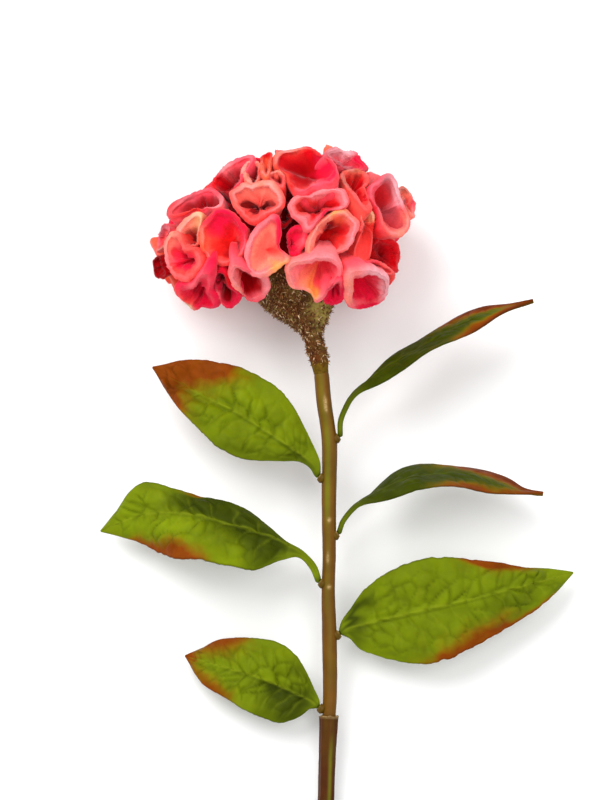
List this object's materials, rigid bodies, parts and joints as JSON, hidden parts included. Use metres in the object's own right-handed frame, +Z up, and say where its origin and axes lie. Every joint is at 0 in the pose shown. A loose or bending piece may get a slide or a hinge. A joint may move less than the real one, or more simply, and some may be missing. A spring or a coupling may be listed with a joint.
{
  "type": "artificial cockscomb celosia stem",
  "caption": "Cut stem of a cockscomb flower: a folded velvet crest on a flocked funnel, a slender stem and alternate pointed leaves, lying flat.",
  "frame": {"origin": "middle of the bounding box's base, on the surface that the stem lies on", "axes": "+Y along the stem from the cut end to the crest, +X to the right as the picture shows it, +Z up from the surface"},
  "size_m": [0.228, 0.3524, 0.0895],
  "materials": {
    "crest_velvet": "velvet, coral red to pink with pale rims",
    "receptacle_flock": "rough brown flock with gold-beige chaff",
    "stem_plastic": "satin brown to olive",
    "leaf_plastic": "satin green with rust-red blush"
  },
  "bodies": {
    "root": {"crest": "crest_velvet", "receptacle": "receptacle_flock", "stem_upper": "stem_plastic", "stem_lower": "stem_plastic", "leaf_left_upper": "leaf_plastic", "leaf_left_middle": "leaf_plastic", "leaf_left_lower": "leaf_plastic", "leaf_right_upper": "leaf_plastic", "leaf_right_middle": "leaf_plastic", "leaf_right_lower": "leaf_plastic"}
  },
  "joints": []
}
